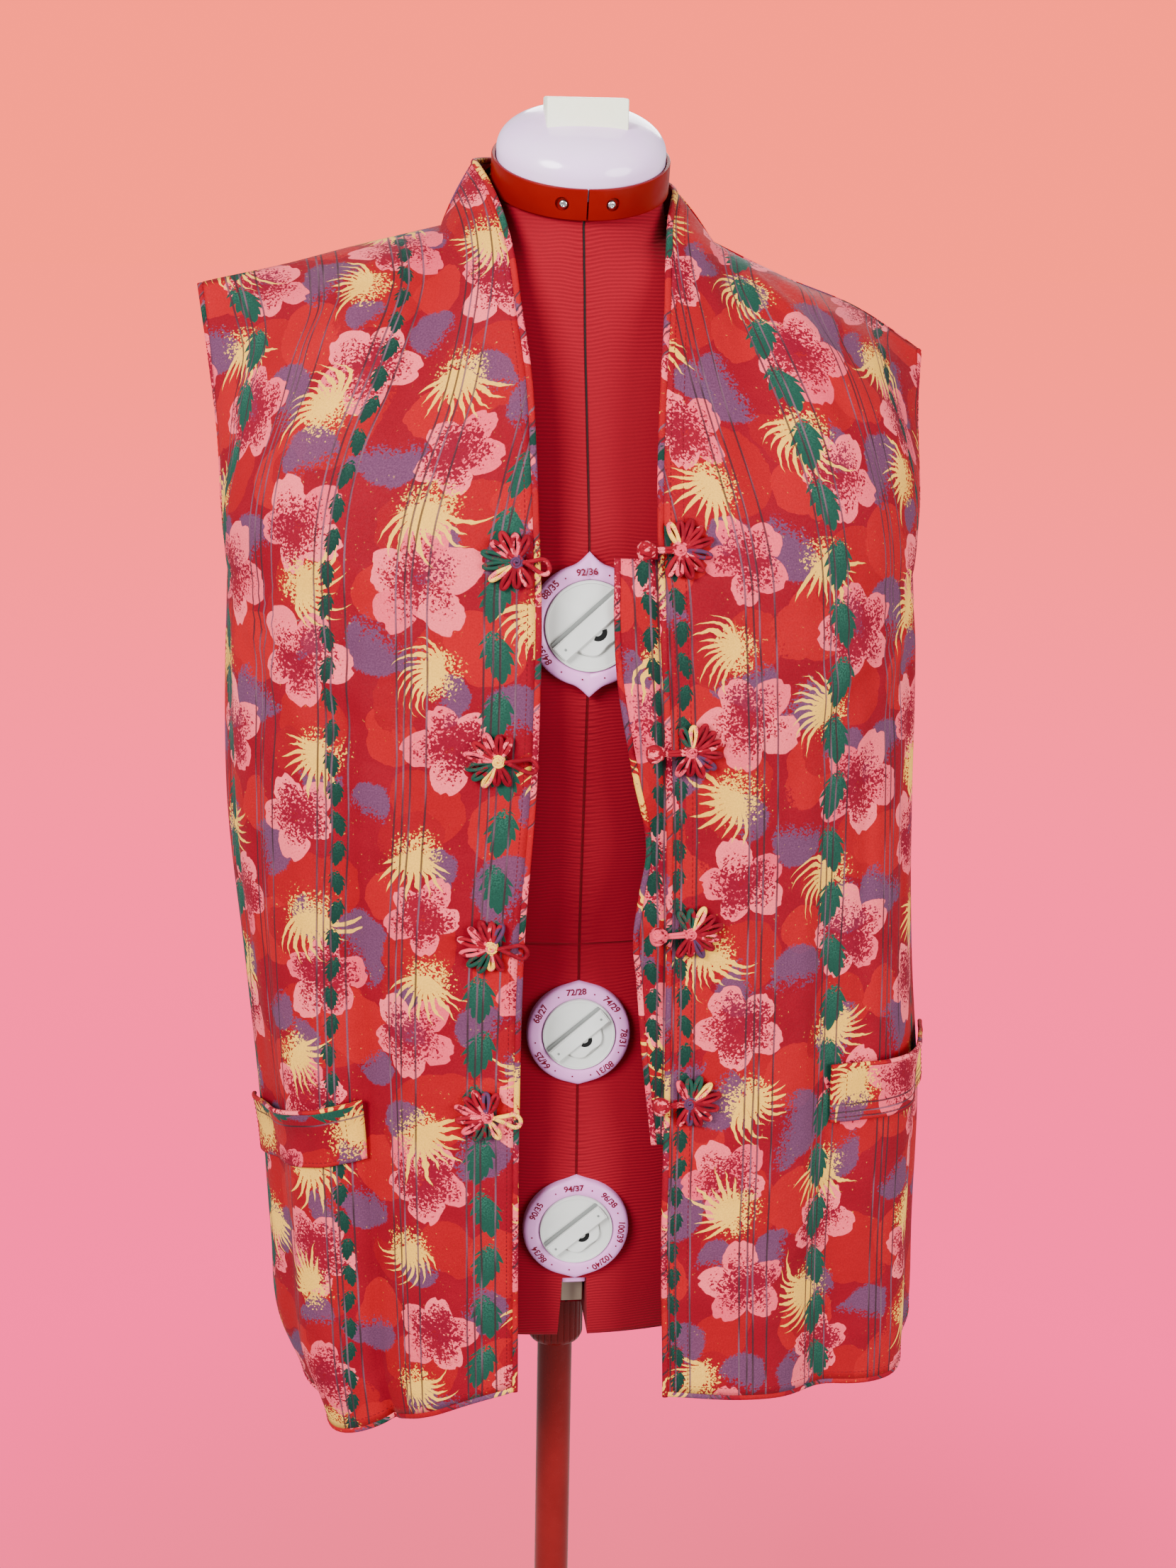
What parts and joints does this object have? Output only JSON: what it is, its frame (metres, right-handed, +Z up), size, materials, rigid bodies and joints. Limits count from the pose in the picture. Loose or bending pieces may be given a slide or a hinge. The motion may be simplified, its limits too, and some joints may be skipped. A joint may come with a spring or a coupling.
{
  "type": "waistcoat on a dress form",
  "caption": "Open sleeveless waistcoat in a painterly flower print with flower-shaped frogs, worn by a limbless adjustable dress form on a pole stand.",
  "frame": {"origin": "centre of the garment's middle plane on the floor, on the underside of the stand's round base", "axes": "+Z up from the floor to the form's neck; -Y is the way the form's front faces; +X is the viewer's right when looking at the front"},
  "size_m": [0.4919, 0.3388, 1.4598],
  "materials": {
    "cloth": "satin printed cotton",
    "knit": "matt ribbed knit",
    "red_gloss": "gloss",
    "lilac": "gloss",
    "cream": "gloss",
    "white": "gloss",
    "grey": "satin",
    "steel": "polished",
    "pole_red": "gloss"
  },
  "bodies": {
    "root": {"front_left": "cloth", "front_right": "cloth", "back": "cloth", "collar_back": "cloth", "button_stand": "cloth", "welt_left": "cloth", "welt_right": "cloth", "edging_front_left": "cloth", "edging_front_right": "cloth", "edging_collar": "cloth", "edging_button_stand": "cloth", "edging_armhole_front_left": "cloth", "edging_armhole_front_right": "cloth", "edging_armhole_back_left": "cloth", "edging_armhole_back_right": "cloth", "edging_hem_left": "cloth", "edging_hem_right": "cloth", "edging_hem_back": "cloth", "frog_flower_left_1": "cloth", "frog_flower_left_2": "cloth", "frog_flower_left_3": "cloth", "frog_flower_left_4": "cloth", "frog_flower_right_1": "cloth", "frog_flower_right_2": "cloth", "frog_flower_right_3": "cloth", "frog_flower_right_4": "cloth", "frog_loop_1": "cloth", "frog_loop_2": "cloth", "frog_loop_3": "cloth", "frog_loop_4": "cloth", "frog_knot_1": "cloth", "frog_knot_2": "cloth", "frog_knot_3": "cloth", "frog_knot_4": "cloth", "form_torso": "knit", "neck_band": "red_gloss", "neck_cap": "lilac", "dial_ring_bust": "lilac", "dial_ring_waist": "lilac", "dial_ring_hip": "lilac", "cap_block": "cream", "dial_knob_bust": "white", "dial_knob_waist": "white", "dial_knob_hip": "white", "dial_grip_bust": "white", "dial_grip_waist": "white", "dial_grip_hip": "white", "adjuster": "grey", "band_screw_left": "steel", "band_screw_right": "steel", "pole_collar": "pole_red", "pole": "pole_red", "base": "pole_red"}
  },
  "joints": []
}
